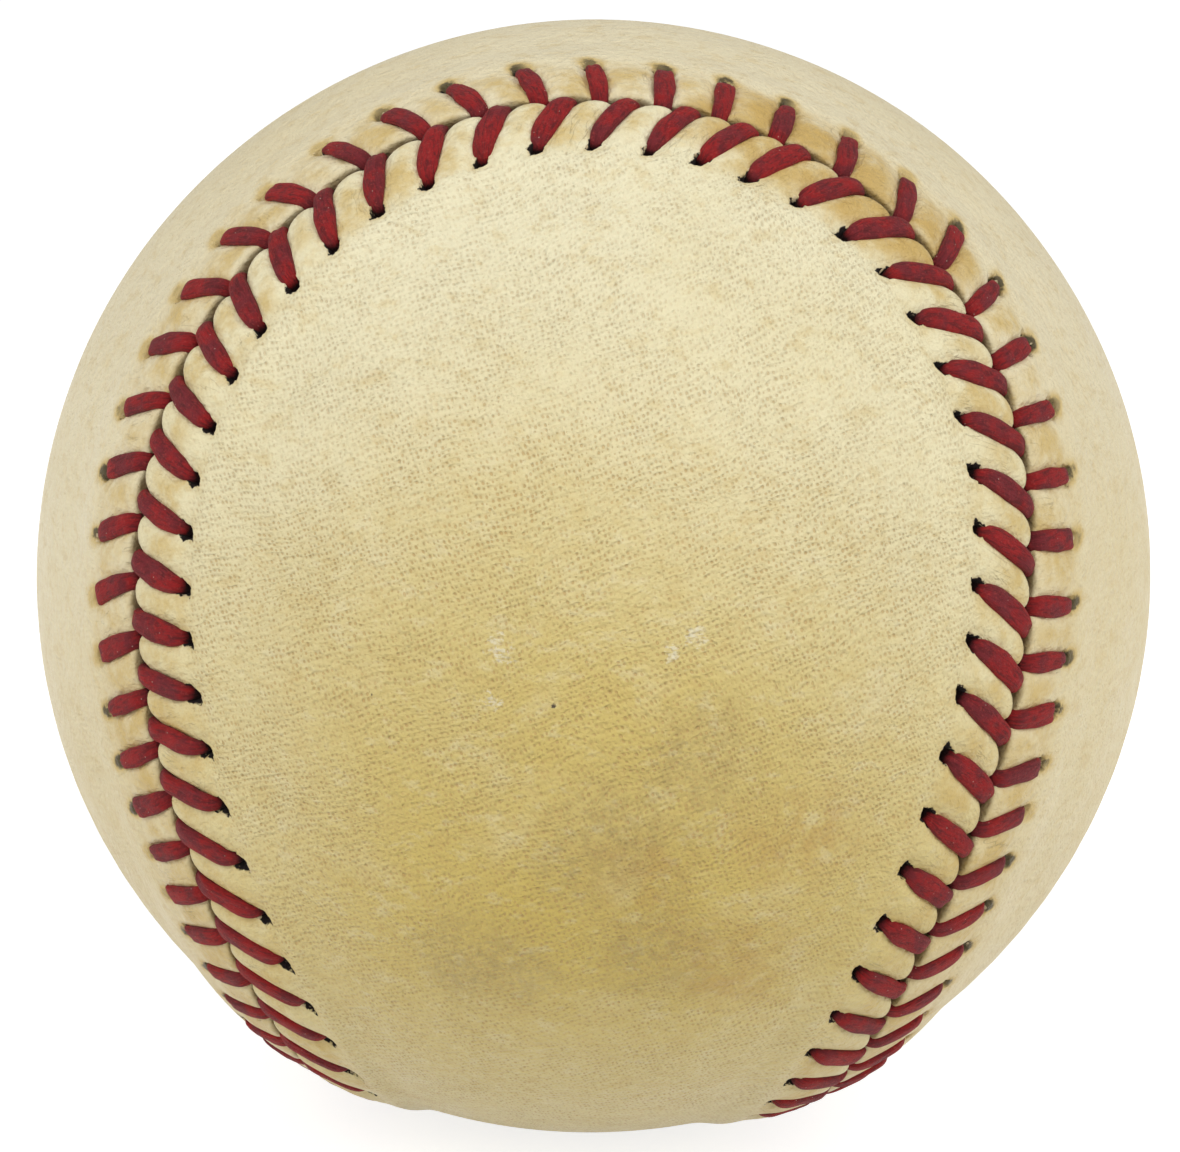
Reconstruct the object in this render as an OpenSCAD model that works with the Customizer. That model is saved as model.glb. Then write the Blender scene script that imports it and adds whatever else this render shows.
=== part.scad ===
// Baseball: cushioned cork centre, yarn windings, and a leather cover of two panels
// sewn with two threads. Millimetres. The origin is the centre of the ball.
// The lobes of the front panel lie on the Y axis and those of the side panel on the X axis.

/* [Core] */
// Diameter of the cork and rubber ball in the middle
cork_d = 20.6; // [16:0.1:24]
// Wall of the two black rubber cups round the cork
black_wall = 4.0; // [2.5:0.1:6]
// Wall of the two red rubber cups round the black ones
red_wall = 2.4; // [1.5:0.1:4]
// Diameter of the red rubber plugs in the joint of the black cups
plug_d = 5.0; // [3:0.1:8]

/* [Windings] */
// Thickness of the first winding, grey wool
grey_wool_wall = 14.2; // [12:0.1:16]
// Thickness of the second winding, white wool
white_wool_wall = 1.7; // [1:0.1:3]
// Thickness of the third winding, grey wool
outer_wool_wall = 2.2; // [1:0.1:3]
// Thickness of the cotton finishing winding
cotton_wall = 0.5; // [0.3:0.1:1]
// Thickness of the rubber cement coat
cement_wall = 0.1; // [0.05:0.05:0.3]
// Clearance between one layer and the next
layer_gap = 0.02; // [0.01:0.01:0.1]

/* [Cover] */
// Thickness of the leather
leather_wall = 1.15; // [0.9:0.05:1.4]
// Width of the groove between the edges of the two panels
groove_w = 1.1; // [1:0.05:1.6]
// Distance from the seam line to the middle of the stitch holes
hole_inset = 4.45; // [3.8:0.05:5.2]
// Width and length of a stitch hole
hole_w = 1.3; // [1.2:0.05:1.5]
// Distance from the seam line to where the raised edge ends
shoulder_inset = 8.6; // [7.5:0.1:10]
// Width of the rounded lip along the groove
lip_w = 0.65; // [0.4:0.05:1]
// How far the rounded lip drops at the groove
lip_drop = 0.12; // [0.05:0.01:0.3]

/* [Thread] */
// Width of the waxed thread, pressed flat
thread_w = 1.0; // [0.7:0.05:1.1]
// Thickness of the waxed thread, pressed flat
thread_t = 0.72; // [0.5:0.02:0.8]
// Clearance between the thread and what it runs over or under
thread_gap = 0.05; // [0.03:0.01:0.15]
// How far a stitch arches over the leather at its middle
leg_arch = 0.1; // [0:0.02:0.3]
// Rows of stitches round the whole seam
stitch_rows = 108; // [76, 92, 108, 124]

/* [Hidden] */
$fn = 96;

// Seam curve: shares of its third and fifth waves, its rise and the sixth wave of the rise
third_wave_share = 0.42;
fifth_wave_share = -0.05;
rise_share = 1.36;
sixth_wave_share = -0.045;
// Rows that a stitch leans forward on its way to the groove, on each panel
front_lean_share = 0.85;
side_lean_share = 0.4;
// How the ribs of a panel crowd toward the end of its midline
rib_spread_share = 1.8;
// Share of the midline's steps at which it crosses the middle of the lobe
lobe_middle_share = 0.69;
// Share of the way to the next hole at which the end of a thread is cut
tail_share = 0.5;
// Steps of the seam table in a quarter of the seam
table_steps = 360;
// Step either side of a point of the seam at which its direction is taken
probe = 0.05;
// Half the angle that the largest flat of the panels' inner face spans
flat_half = 8;
// Sides of the thread, and cells from the raised edge to the midline, outside and inside
thread_sides = 5;
outer_cells = 4;
inner_cells = 4;

// Radii of the layers, from the centre out
cork_r = cork_d / 2;
black_in_r = cork_r + layer_gap;
black_r = black_in_r + black_wall;
red_in_r = black_r + layer_gap;
red_r = red_in_r + red_wall;
grey_in_r = red_r + layer_gap;
grey_r = grey_in_r + grey_wool_wall;
white_in_r = grey_r + layer_gap;
white_r = white_in_r + white_wool_wall;
outer_in_r = white_r + layer_gap;
outer_r = outer_in_r + outer_wool_wall;
cotton_in_r = outer_r + layer_gap;
cotton_r = cotton_in_r + cotton_wall;
cement_in_r = cotton_r + layer_gap;
cement_r = cement_in_r + cement_wall;
// The corners of the panel's flats stand off so that the flats clear the cement
leather_in_r = (cement_r + layer_gap) / cos(flat_half);
field_r = leather_in_r + leather_wall;

// Seam: a closed curve on the unit sphere, alike in its four quarters
function unit(v) = v / norm(v);
function seam_raw(t) = [
    cos(t) + third_wave_share * cos(3 * t) + fifth_wave_share * cos(5 * t),
    sin(t) - third_wave_share * sin(3 * t) + fifth_wave_share * sin(5 * t),
    rise_share * sin(2 * t) + sixth_wave_share * sin(6 * t)];
function turn_eighth(v) = [(v.x - v.y) * sqrt(0.5), (v.x + v.y) * sqrt(0.5), v.z];
function seam(t) = turn_eighth(unit(seam_raw(t)));

// Table of the way along one quarter of the seam against its angle
quarter_points = [for (i = [0 : table_steps]) seam(90 * i / table_steps)];
quarter_steps = [for (i = [1 : table_steps]) norm(quarter_points[i] - quarter_points[i - 1])];
quarter_way = [for (i = 0, s = 0; i <= table_steps; s = s + (i < table_steps ? quarter_steps[i] : 0), i = i + 1) s];
quarter_len = quarter_way[table_steps];
way_to_angle = [for (i = [0 : table_steps]) [quarter_way[i], 90 * i / table_steps]];
quarter_rows = stitch_rows / 4;
pitch = 4 * quarter_len * field_r / stitch_rows;

// Angle on the seam, direction along it and direction into the front panel, at a row
function row_angle(row) =
    let (quarter = floor(row / quarter_rows), rest = row / quarter_rows - quarter)
    90 * quarter + lookup(rest * quarter_len, way_to_angle);
function along(t) = unit(seam(t + probe) - seam(t - probe));
function inward(t) = cross(along(t), seam(t));

// Point at a row, a distance from the seam into the front panel (or out of it) and a radius
function inset_dir(t, inset) =
    let (a = inset / field_r * 180 / PI)
    seam(t) * cos(a) + inward(t) * sin(a);
function place(row, inset, r) = r * inset_dir(row_angle(row), inset);

// Heights of the thread and of the raised edge
run_half = norm([hole_inset, pitch]) / 2 / field_r * 180 / PI;
under_r = (cement_r + thread_gap + thread_t / 2) / cos(run_half);
edge_in_r = (under_r + thread_t / 2 + thread_gap) / cos(run_half);
edge_r = edge_in_r + leather_wall;
over_r = edge_r + thread_gap + thread_t / 2;

// Cover panel: fine columns at both sides of every hole, and coarse ones every second row
fine_count = 2 * stitch_rows;
coarse_count = stitch_rows / 2;
half_hole_rows = hole_w / 2 / pitch;
fine_rows = [for (j = [0 : fine_count - 1]) floor(j / 2) + (j % 2 == 0 ? -half_hole_rows : half_hole_rows)];
coarse_rows = [for (k = [0 : coarse_count - 1]) 2 * k + 0.5];
hole_near = hole_inset - hole_w / 2;
hole_far = hole_inset + hole_w / 2;
outer_insets = [groove_w / 2, groove_w / 2 + lip_w, hole_near, hole_far];
outer_radii = [edge_r - lip_drop, edge_r, edge_r, edge_r - lip_drop];
inner_insets = [groove_w / 2, hole_near, hole_far];
inner_radii = [edge_in_r, edge_in_r, edge_in_r];

// Midline of the panel: an arc through its narrow waist, with one point for each pair of columns
mid_steps = (quarter_rows - 1) / 2;
lobe_step = round(mid_steps * lobe_middle_share);
function crowd(n) = 1 - pow(1 - n / mid_steps, rib_spread_share);
function mid_angle(n) = sign(n) * 90 * crowd(abs(n)) / crowd(lobe_step);
function mid_dir(n) = [0, sin(mid_angle(n)), -cos(mid_angle(n))];
// Step of the midline that a coarse column runs to, minus on the lobe at minus Y
function column_step(row) =
    row < 1.5 * quarter_rows || row > 3.5 * quarter_rows
        ? (quarter_rows - abs(row > 3.5 * quarter_rows ? row - stitch_rows - quarter_rows / 2 : row - quarter_rows / 2)) / 2
        : -(quarter_rows - abs(row - 2.5 * quarter_rows)) / 2;
// Direction at a share of the way from one direction to another
function between(a, b, share) =
    let (angle = acos(a * b))
    (a * sin((1 - share) * angle) + b * sin(share * angle)) / sin(angle);
function coarse_dir(k, share) =
    between(inset_dir(row_angle(coarse_rows[k]), shoulder_inset), mid_dir(column_step(coarse_rows[k])), share);

panel_points = concat(
    [for (i = [0 : 3], j = [0 : fine_count - 1]) place(fine_rows[j], outer_insets[i], outer_radii[i])],
    [for (i = [0 : outer_cells - 1], k = [0 : coarse_count - 1]) field_r * coarse_dir(k, i / outer_cells)],
    [for (n = [-mid_steps : mid_steps]) field_r * mid_dir(n)],
    [for (i = [0 : 2], j = [0 : fine_count - 1]) place(fine_rows[j], inner_insets[i], inner_radii[i])],
    [for (i = [0 : inner_cells - 1], k = [0 : coarse_count - 1]) leather_in_r * coarse_dir(k, i / inner_cells)],
    [for (n = [-mid_steps : mid_steps]) leather_in_r * mid_dir(n)]);

// Places of the points in that list
outer_coarse_at = 4 * fine_count;
outer_mid_at = outer_coarse_at + outer_cells * coarse_count;
inner_at = outer_mid_at + 2 * mid_steps + 1;
inner_coarse_at = inner_at + 3 * fine_count;
inner_mid_at = inner_coarse_at + inner_cells * coarse_count;
function outer_fine(i, j) = i * fine_count + j % fine_count;
function inner_fine(i, j) = inner_at + i * fine_count + j % fine_count;
function coarse(at, mid_at, cells, i, k) =
    let (c = k % coarse_count)
    i < cells ? at + i * coarse_count + c : mid_at + mid_steps + column_step(coarse_rows[c]);
function outer_coarse(i, k) = coarse(outer_coarse_at, outer_mid_at, outer_cells, i, k);
function inner_coarse(i, k) = coarse(inner_coarse_at, inner_mid_at, inner_cells, i, k);

// Two triangles of a four-cornered cell, or one where two of its corners are the same point
function cell(a, b, c, d) = c == d ? [[a, b, c]] : [[a, b, c], [a, c, d]];
// The same for the panel, split along the shorter diagonal
function skin_cell(a, b, c, d) =
    norm(panel_points[a] - panel_points[c]) <= norm(panel_points[b] - panel_points[d])
        ? cell(a, b, c, d)
        : c == d ? cell(a, b, c, d) : cell(b, c, d, a);
// Five triangles from four fine columns to one coarse one
function fan(f, c, c_next) = [
    [f[0], f[1], c],
    [f[1], f[2], c],
    [f[2], f[3], c],
    [f[3], c_next, c],
    [f[3], f[4], c_next]];
function turned(faces) = [for (face = faces) [face[2], face[1], face[0]]];
function flat_list(lists) = [for (l = lists) each l];

outer_fine_faces = flat_list([for (i = [0 : 2], j = [0 : fine_count - 1])
    i == 2 && j % 2 == 0 ? [] :
    cell(outer_fine(i, j), outer_fine(i, j + 1), outer_fine(i + 1, j + 1), outer_fine(i + 1, j))]);
inner_fine_faces = flat_list([for (i = [0 : 1], j = [0 : fine_count - 1])
    i == 1 && j % 2 == 0 ? [] :
    cell(inner_fine(i, j), inner_fine(i, j + 1), inner_fine(i + 1, j + 1), inner_fine(i + 1, j))]);
outer_fan_faces = flat_list([for (k = [0 : coarse_count - 1])
    fan([for (s = [1 : 5]) outer_fine(3, 4 * k + s)], outer_coarse(0, k), outer_coarse(0, k + 1))]);
inner_fan_faces = flat_list([for (k = [0 : coarse_count - 1])
    fan([for (s = [1 : 5]) inner_fine(2, 4 * k + s)], inner_coarse(0, k), inner_coarse(0, k + 1))]);
outer_coarse_faces = flat_list([for (i = [0 : outer_cells - 1], k = [0 : coarse_count - 1])
    skin_cell(outer_coarse(i, k), outer_coarse(i, k + 1), outer_coarse(i + 1, k + 1), outer_coarse(i + 1, k))]);
inner_coarse_faces = flat_list([for (i = [0 : inner_cells - 1], k = [0 : coarse_count - 1])
    skin_cell(inner_coarse(i, k), inner_coarse(i, k + 1), inner_coarse(i + 1, k + 1), inner_coarse(i + 1, k))]);
edge_faces = flat_list([for (j = [0 : fine_count - 1])
    cell(outer_fine(0, j + 1), outer_fine(0, j), inner_fine(0, j), inner_fine(0, j + 1))]);
// Walls of the stitch holes, one after another round each hole
function hole_corner(i, s) = [[2, 1], [2, 1], [3, 2], [3, 2]][s];
function hole_column(i, s) = 2 * i + [0, 1, 1, 0][s];
hole_faces = flat_list([for (i = [0 : stitch_rows - 1], s = [0 : 3])
    let (n = (s + 1) % 4, a = hole_corner(i, s), b = hole_corner(i, n))
    cell(outer_fine(a[0], hole_column(i, s)), outer_fine(b[0], hole_column(i, n)),
        inner_fine(b[1], hole_column(i, n)), inner_fine(a[1], hole_column(i, s)))]);
panel_faces = concat(outer_fine_faces, outer_fan_faces, outer_coarse_faces, edge_faces, hole_faces,
    turned(concat(inner_fine_faces, inner_fan_faces, inner_coarse_faces)));

// The two panels are one shape: the second is the first turned half round between X and Y
function half_turn(p) = [p.y, p.x, -p.z];

// Thread: for each stitch a ring under the hole, one over it, one on the leather,
// one over the groove and one under the groove. side is 1 on the front panel, -1 on the side one
function stitch_rings(row, side) =
    let (lean = side > 0 ? front_lean_share : side_lean_share, inset = side * hole_inset)
    [[row, inset, under_r, 0],
        [row, inset, over_r, 0],
        [row + lean / 2, inset / 2, over_r + leg_arch, side * lean],
        [row + lean, 0, over_r, side * lean],
        [row + lean, 0, under_r, side * lean]];
// The panel whose hole a thread uses at a row: the two threads take turns
function thread_side(row, first) = (row % 2 == 0 ? 1 : -1) * (first ? 1 : -1);
function tail_ring(first) =
    let (row = stitch_rows - 1, side = thread_side(row, first), lean = side > 0 ? front_lean_share : side_lean_share)
    [row + lean + (1 - lean) * tail_share, -side * hole_inset * tail_share, under_r, 0];
function thread_rings(first) = concat(
    flat_list([for (row = [0 : stitch_rows - 1]) stitch_rings(row, thread_side(row, first))]),
    [tail_ring(first)]);
// Direction across the thread at a ring: square to the way that the stitch leans
function across(ring) =
    let (t = row_angle(ring[0]))
    unit(along(t) * hole_inset + inward(t) * ring[3] * pitch);
function ring_points(rings, places, k) =
    let (last = len(rings) - 1,
        come = unit(places[max(k, 1)] - places[max(k, 1) - 1]),
        go = unit(places[min(k + 1, last)] - places[min(k + 1, last) - 1]),
        way = unit(come + go),
        wide = unit(across(rings[k]) - way * (across(rings[k]) * way)),
        high = cross(way, wide) / (way * come))
    [for (s = [0 : thread_sides - 1])
        let (a = 90 + 360 * s / thread_sides)
        places[k] + wide * thread_w / 2 * cos(a) + high * thread_t / 2 * sin(a)];
function tube_faces(count) = concat(
    flat_list([for (k = [0 : count - 2], s = [0 : thread_sides - 1])
        let (n = (s + 1) % thread_sides, at = k * thread_sides, up = at + thread_sides)
        cell(up + s, up + n, at + n, at + s)]),
    [[for (s = [0 : thread_sides - 1]) s]],
    [[for (s = [0 : thread_sides - 1]) count * thread_sides - 1 - s]]);

module ball(r) {
    sphere(r);
}

module layer(r_in, r_out) {
    difference() {
        ball(r_out);
        ball(r_in);
    }
}

// Half space that keeps the plus side of an axis, with half the clearance at the joint
module half_space(turn, r) {
    rotate(turn)
        translate([-r, -r, layer_gap / 2])
            cube([2 * r, 2 * r, r]);
}

module cup(r_in, r_out, turn) {
    intersection() {
        layer(r_in, r_out);
        half_space(turn, r_out + layer_gap);
    }
}

module plug_bore(d, r) {
    rotate([0, 90, 0])
        cylinder(h = 2 * r, d = d, center = true);
}

module black_cup(turn) {
    color("#2b2a2a")
        difference() {
            cup(black_in_r, black_r, turn);
            plug_bore(plug_d + 2 * layer_gap, black_r + layer_gap);
        }
}

module plug(way) {
    color("#a8302a")
        intersection() {
            layer(black_in_r, black_r);
            rotate([0, 90 * way, 0])
                cylinder(h = black_r + layer_gap, d = plug_d);
        }
}

module red_cup(turn) {
    color("#b23a2e")
        cup(red_in_r, red_r, turn);
}

module thread(first) {
    rings = thread_rings(first);
    places = [for (ring = rings) place(ring[0], ring[1], ring[2])];
    color("#8c1a28")
        polyhedron(
            points = flat_list([for (k = [0 : len(rings) - 1]) ring_points(rings, places, k)]),
            faces = tube_faces(len(rings)));
}

module cork_core() {
    color("#a8794c")
        ball(cork_r);
}

module black_shell_lower() {
    black_cup([180, 0, 0]);
}

module black_shell_upper() {
    black_cup([0, 0, 0]);
}

module gasket_left() {
    plug(-1);
}

module gasket_right() {
    plug(1);
}

module red_shell_front() {
    red_cup([90, 0, 0]);
}

module red_shell_back() {
    red_cup([-90, 0, 0]);
}

module grey_wool_winding() {
    color("#8d8c88")
        layer(grey_in_r, grey_r);
}

module white_wool_winding() {
    color("#e6e1d3")
        layer(white_in_r, white_r);
}

module grey_wool_outer_winding() {
    color("#9a9892")
        layer(outer_in_r, outer_r);
}

module cotton_finish_winding() {
    color("#efe9da")
        layer(cotton_in_r, cotton_r);
}

module cement_coat() {
    color("#c8a468")
        layer(cement_in_r, cement_r);
}

module cover_panel_front() {
    color("#ddd0a6")
        polyhedron(points = panel_points, faces = panel_faces);
}

module cover_panel_side() {
    color("#dccba2")
        polyhedron(points = [for (p = panel_points) half_turn(p)], faces = panel_faces);
}

module thread_first() {
    thread(true);
}

module thread_second() {
    thread(false);
}

cork_core();
black_shell_lower();
black_shell_upper();
gasket_left();
gasket_right();
red_shell_front();
red_shell_back();
grey_wool_winding();
white_wool_winding();
grey_wool_outer_winding();
cotton_finish_winding();
cement_coat();
cover_panel_front();
cover_panel_side();
thread_first();
thread_second();
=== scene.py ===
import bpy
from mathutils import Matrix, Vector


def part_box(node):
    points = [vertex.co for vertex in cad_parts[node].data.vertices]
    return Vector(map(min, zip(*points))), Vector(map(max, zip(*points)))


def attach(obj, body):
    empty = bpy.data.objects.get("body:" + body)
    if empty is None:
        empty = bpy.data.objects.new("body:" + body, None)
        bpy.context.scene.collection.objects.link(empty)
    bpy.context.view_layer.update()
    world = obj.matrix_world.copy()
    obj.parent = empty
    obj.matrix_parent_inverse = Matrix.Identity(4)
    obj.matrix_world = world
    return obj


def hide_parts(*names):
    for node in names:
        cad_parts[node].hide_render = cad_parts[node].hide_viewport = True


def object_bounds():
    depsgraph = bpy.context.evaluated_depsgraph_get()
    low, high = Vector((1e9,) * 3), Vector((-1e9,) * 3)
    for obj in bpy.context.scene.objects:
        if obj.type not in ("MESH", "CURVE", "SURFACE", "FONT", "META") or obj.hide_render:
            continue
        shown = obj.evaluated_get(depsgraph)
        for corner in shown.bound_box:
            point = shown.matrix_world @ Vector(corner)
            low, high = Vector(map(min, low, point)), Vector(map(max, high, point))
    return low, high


bl_info = {
    "name": "Sewn leather baseball",
    "version": (1, 0, 0),
    "blender": (4, 5, 0),
    "location": "3D View > Sidebar > Baseball",
    "description": "Dresses the packed baseball with its leather, thread, windings and a small studio",
    "category": "Object",
}

from functools import reduce
from math import asin, cos, pi, radians, sin, sqrt

import bmesh
import bpy
import numpy as np
from bpy.props import FloatProperty, FloatVectorProperty, PointerProperty
from mathutils import Matrix, Vector

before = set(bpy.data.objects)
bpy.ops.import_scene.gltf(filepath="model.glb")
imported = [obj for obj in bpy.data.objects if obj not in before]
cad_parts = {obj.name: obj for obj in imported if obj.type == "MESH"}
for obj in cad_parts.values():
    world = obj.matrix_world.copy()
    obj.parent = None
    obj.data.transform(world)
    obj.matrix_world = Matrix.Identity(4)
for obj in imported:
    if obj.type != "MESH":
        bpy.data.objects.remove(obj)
cad_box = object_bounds()

MM = 0.001
BODY = "root"
FRONT = 1
SIDE = -1
CEMENT_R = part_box("cement_coat")[1].x / MM

# Seam curve, with the same waves as in the part's source
THIRD_WAVE = 0.42
FIFTH_WAVE = -0.05
RISE = 1.36
SIXTH_WAVE = -0.045
ROWS = 108
QUARTER_ROWS = ROWS / 4
TABLE_STEPS = 1440
PROBE = 0.05

# Sizes of the cover in millimetres, as in the part's source, with FLAT_HALF in degrees
LEATHER = 1.15
HOLE_INSET = 4.45
SHOULDER = 8.6
LAYER_GAP = 0.02
FLAT_HALF = 8
THREAD_T = 0.72
THREAD_GAP = 0.05
LEATHER_IN_R = (CEMENT_R + LAYER_GAP) / cos(radians(FLAT_HALF))
FIELD_R = LEATHER_IN_R + LEATHER
# How the columns of the leather crowd together along a panel's midline
MID_STEPS = (QUARTER_ROWS - 1) / 2
RIB_SPREAD = 1.8
LOBE_STEP = 9

# Forms of the sewn leather in millimetres, and the value that stands for far from any hole
WANDER_FADE = 4.2
RAISED_TO = 4.6
VALLEY_TO = 5.4
VALLEY_FADE = 1.5
SCALLOP_TO = 2.6
LIP = 0.55
LIP_DROP = 0.12
LEAST_SKIN = 0.06
EDGE_TUCK = 0.04
FIELD_SPREAD = 20.0
FAR_FROM_HOLE = 9.0


def smooth(x):
    x = np.clip(x, 0, 1)
    return x * x * (3 - 2 * x)


def bell(x):
    return np.exp(-(x**2))


def unit(v):
    return v / np.linalg.norm(v, axis=-1, keepdims=True)


def seam(t):
    a = np.radians(t)
    x = np.cos(a) + THIRD_WAVE * np.cos(3 * a) + FIFTH_WAVE * np.cos(5 * a)
    y = np.sin(a) - THIRD_WAVE * np.sin(3 * a) + FIFTH_WAVE * np.sin(5 * a)
    z = RISE * np.sin(2 * a) + SIXTH_WAVE * np.sin(6 * a)
    return unit(np.stack([(x - y) * sqrt(0.5), (x + y) * sqrt(0.5), z], -1))


table_angles = np.linspace(0.0, 90.0, TABLE_STEPS + 1)
table_steps = np.linalg.norm(np.diff(seam(table_angles), axis=0), axis=1)
table_way = np.concatenate([[0.0], np.cumsum(table_steps)])
PITCH = 4 * table_way[-1] * FIELD_R / ROWS
RUN_HALF = asin(sqrt(HOLE_INSET**2 + PITCH**2) / 2 / FIELD_R)
UNDER_R = (CEMENT_R + THREAD_GAP + THREAD_T / 2) / cos(RUN_HALF)
EDGE_IN_R = (UNDER_R + THREAD_T / 2 + THREAD_GAP) / cos(RUN_HALF)
EDGE_R = EDGE_IN_R + LEATHER


def row_angle(row):
    quarter = np.floor(row / QUARTER_ROWS)
    rest = row / QUARTER_ROWS - quarter
    return 90.0 * quarter + np.interp(rest * table_way[-1], table_way, table_angles)


def direction(row, inset):
    """Unit vector at a row of the seam and a distance in millimetres from it, plus into the front panel."""
    t = row_angle(np.asarray(row, float))
    here = seam(t)
    along = unit(seam(t + PROBE) - seam(t - PROBE))
    inward = np.cross(along, here)
    a = (np.asarray(inset, float) / FIELD_R)[..., None]
    return here * np.cos(a) + inward * np.sin(a)


def crowd(n):
    return 1.0 - np.clip(1.0 - n / MID_STEPS, 0, 1) ** RIB_SPREAD


def midline(row, side):
    """Point of the panel's midline that the column at this row runs to."""
    row = np.mod(row if side == FRONT else -row, ROWS)
    plus = (row < 1.5 * QUARTER_ROWS) | (row > 3.5 * QUARTER_ROWS)
    from_tip = np.where(row > 3.5 * QUARTER_ROWS, row - ROWS, row) - QUARTER_ROWS / 2
    n = np.where(plus, QUARTER_ROWS - np.abs(from_tip), np.abs(row - 2.5 * QUARTER_ROWS) - QUARTER_ROWS) / 2
    a = np.radians(np.sign(n) * 90.0 * crowd(np.abs(n)) / crowd(LOBE_STEP))
    points = np.stack([0.0 * a, np.sin(a), -np.cos(a)], -1)
    return points if side == FRONT else points[..., [1, 0, 2]] * [1.0, 1.0, -1.0]


def between(a, b, share):
    angle = np.arccos(np.clip((a * b).sum(-1, keepdims=True), -1, 1))
    return (a * np.sin((1 - share) * angle) + b * np.sin(share * angle)) / np.sin(angle)


def row_values(seed, low, high):
    """One random value for each row of stitches."""
    return np.random.RandomState(seed).uniform(low, high, ROWS)


def at_row(values, row):
    """Value at a place between two rows, blended from both."""
    first = np.floor(row).astype(int)
    share = smooth(row - first)
    return values[first % ROWS] * (1 - share) + values[(first + 1) % ROWS] * share


def near_row(values, row):
    return values[np.round(row).astype(int) % ROWS]


# How the front and the side panel are sewn: how the path of a leg bends and where it goes past the hole,
# depth and width of the valley under it, height of the pillow between legs, the leather's edge, scallops and
# corner, reach of the soiling and painted shade along the groove, how much the hole has closed and how
# stained it is, the hole's half width, half height, place and depth, and where the tan patch between legs
# lies and how wide it is
SEWN = [
    ("bend", 1.12, 0.95), ("back", 0.36, 0.10), ("valley", 0.34, 0.28),
    ("valley_w", 0.235, 0.21), ("pillow", 0.22, 0.13), ("edge", 0.06, 0.46),
    ("scallop", 0.44, 0.20), ("corner", 0.14, 0.15), ("grime_and_shade", 0.14, 0.13),
    ("tight", 0.0, 0.30), ("halo", 0.30, 1.0), ("hole_a", 0.40, 0.50),
    ("hole_b", 0.50, 0.36), ("hole_at", 4.03, 4.34), ("hole_deep", 1.12, 1.05),
    ("tab_at", 2.0, 2.3), ("tab_w", 1.15, 1.7),
]
SEWING = {
    FRONT: {name: front for name, front, side in SEWN},
    SIDE: {name: side for name, front, side in SEWN},
}
# Uneven hand sewing: row, wander of the seam toward the front panel in millimetres, then in rows the slip of
# the holes on the front and side panel and the lean of the legs on each
UNEVEN = [
    (34, 0, 0, 0, 0.56, 0.37), (40, 0.80, 0.50, 0.50, 0.56, 0.37),
    (46, 1.35, 1.00, 0.85, 0.54, 0.37), (48, 1.45, 0.88, 0.82, 0.50, 0.37),
    (50, 1.15, 0.74, 0.60, 0.48, 0.35), (52, 0.85, 0.62, 0.30, 0.38, 0.33),
    (54, 0.60, 0.38, 0.08, 0.30, 0.33), (55, 0.50, 0.20, 0.05, 0.48, 0.33),
    (57, 0.55, 0, -0.02, 0.56, 0.27), (60, 1.25, -0.13, -0.11, 0.56, 0.43),
    (62, 1.55, -0.12, -0.11, 0.56, 0.44), (64, 1.62, 0.03, 0, 0.57, 0.50),
    (66, 1.40, 0.18, 0.15, 0.60, 0.26), (68, 1.45, 0.29, 0.28, 0.54, 0.10),
    (70, 1.10, 0.24, 0.22, 0.56, 0.12), (72, 0.65, 0.27, 0.26, 0.56, 0.50),
    (73, 0.40, 0.26, 0.28, 0.68, 0.40), (75, 0.55, 0.23, 0.30, 0.58, 0.16),
    (77, 0.55, 0.16, 0.35, 0.70, 0.08), (79, 0.95, 0.07, 0.34, 0.62, 0.06),
    (81, 1.25, -0.14, 0.05, 0.60, 0.18), (83, 1.35, -0.20, -0.22, 0.57, 0.35),
    (85, 1.35, -0.30, -0.38, 0.56, 0.37), (88, 0.85, -0.42, -0.40, 0.56, 0.37),
    (92, 0.60, -0.45, -0.45, 0.56, 0.37), (98, 0, -0.10, -0.10, 0.56, 0.37),
]


def uneven(column, seed, spread):
    """One value of the uneven sewing for each row of stitches, with a little chance added."""
    table = np.array(UNEVEN)
    return np.interp(np.arange(ROWS), table[:, 0], table[:, column]) + row_values(seed, -spread, spread)


wander = uneven(1, 15, 0.05)
slips = {FRONT: uneven(2, 13, 0.02), SIDE: uneven(3, 14, 0.02)}
leans = {FRONT: uneven(4, 11, 0.04), SIDE: uneven(5, 12, 0.03)}


def seam_fade(w):
    """1 at the seam and 0 at the smooth field of the panel."""
    return smooth((SHOULDER - w) / WANDER_FADE)


def valley_fade(w):
    """1 under the stitches and 0 past their holes."""
    return smooth((VALLEY_TO - w) / VALLEY_FADE)


def lip_fall(k):
    """How far the leather's padded lip falls at a distance k from its edge."""
    return LIP_DROP * np.clip(1 - k / LIP, 0, 1) ** 2


def lean_rows(row, w, side):
    """Rows that the columns of the leather lean forward at a distance w from the seam."""
    sew = SEWING[side]
    q = (HOLE_INSET - w) / HOLE_INSET
    ahead = at_row(leans[side], row) * np.clip(q, 0.0, 1.2) ** sew["bend"]
    fade = seam_fade(w)
    behind = sew["back"] / PITCH * np.clip(w - HOLE_INSET, 0, 1) * fade
    return ahead - behind + at_row(slips[side], row) * fade


def sewn_direction(row, inset):
    """Direction on the ball at a row and a signed distance from the uneven seam."""
    return direction(row, inset + at_row(wander, row) * seam_fade(np.abs(inset)))


def raised(w):
    """Radius of the leather before its valleys and pillows."""
    return FIELD_R + (EDGE_R - FIELD_R) * (1.0 - smooth((w - RAISED_TO) / (SHOULDER - RAISED_TO)))


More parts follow.
